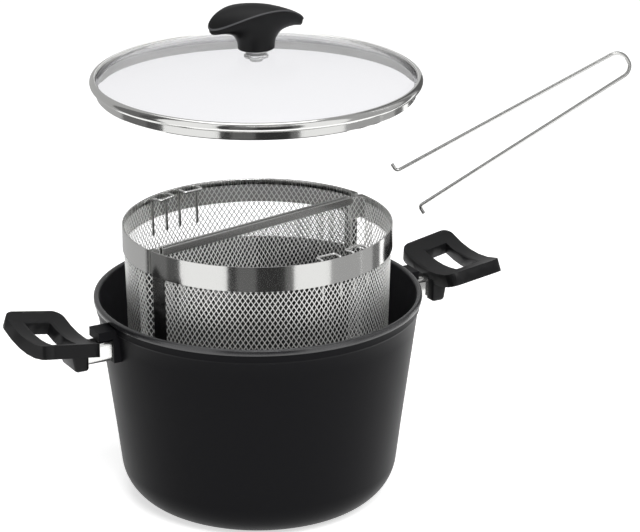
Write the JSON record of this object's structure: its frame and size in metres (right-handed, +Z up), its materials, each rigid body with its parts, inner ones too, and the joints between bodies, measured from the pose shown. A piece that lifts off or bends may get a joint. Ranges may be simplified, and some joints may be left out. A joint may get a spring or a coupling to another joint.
{
  "type": "pasta pot with strainer insert",
  "caption": "Deep round pot with loop handles, a domed glass lid, half-moon mesh strainers that lift out, and a wire lifter.",
  "frame": {"origin": "centre of the pot's underside, on the ground", "axes": "+Z up, +X along the two loop handles, -Y towards the front strainer"},
  "size_m": [0.5262, 0.25, 0.3891],
  "materials": {
    "nonstick_black": "black non-stick coating on pressed aluminium",
    "base_steel": "plain stainless steel disc",
    "polished_steel": "polished stainless steel",
    "strip_steel": "plain stainless steel strip",
    "strainer_mesh": "expanded stainless steel mesh",
    "wire_steel": "drawn stainless steel wire",
    "fastener_steel": "stainless steel screws and washer",
    "phenolic": "satin black moulded phenolic resin",
    "silicone": "soft milky silicone seal",
    "lid_glass": "clear tempered glass"
  },
  "bodies": {
    "pot": {"pot_body": "nonstick_black", "induction_disc": "base_steel", "left_boss": "nonstick_black", "left_flame_guard": "polished_steel", "left_handle": "phenolic", "left_handle_screw": "fastener_steel", "right_boss": "nonstick_black", "right_flame_guard": "polished_steel", "right_handle": "phenolic", "right_handle_screw": "fastener_steel"},
    "strainer_front": {"front_wall_mesh": "strainer_mesh", "front_divider_mesh": "strainer_mesh", "front_floor_mesh": "strainer_mesh", "front_top_band": "polished_steel", "front_divider_fold": "strip_steel", "front_foot_strip": "strip_steel", "front_corner_strip_near": "strip_steel", "front_corner_strip_far": "strip_steel", "front_loop_outer": "wire_steel", "front_loop_inner": "wire_steel"},
    "strainer_back": {"back_wall_mesh": "strainer_mesh", "back_divider_mesh": "strainer_mesh", "back_floor_mesh": "strainer_mesh", "back_top_band": "polished_steel", "back_divider_fold": "strip_steel", "back_foot_strip": "strip_steel", "back_corner_strip_near": "strip_steel", "back_corner_strip_far": "strip_steel", "back_loop_outer": "wire_steel", "back_loop_inner": "wire_steel"},
    "lid": {"lid_glass": "lid_glass", "lid_rim": "polished_steel", "lid_knob": "phenolic", "knob_screw": "fastener_steel", "knob_washer": "fastener_steel", "seal_above": "silicone", "seal_below": "silicone"},
    "lifter": {"lifter": "wire_steel"}
  },
  "joints": [
    {"name": "strainer_front_lift", "type": "slide", "parent": "pot", "child": "strainer_front", "axis": [0, 0, 1], "range_m": [-0.066, 0.12]},
    {"name": "strainer_back_lift", "type": "slide", "parent": "pot", "child": "strainer_back", "axis": [0, 0, 1], "range_m": [-0.066, 0.12]},
    {"name": "lid_lift", "type": "slide", "parent": "strainer_front", "child": "lid", "axis": [0, 0, 1], "range_m": [-0.098, 0.05]},
    {"name": "lifter_lower", "type": "slide", "parent": "pot", "child": "lifter", "axis": [0, 0, 1], "range_m": [-0.16, 0.08]}
  ],
  "couplings": [
    {"joint": "strainer_back_lift", "follows": "strainer_front_lift", "ratio": 1}
  ]
}
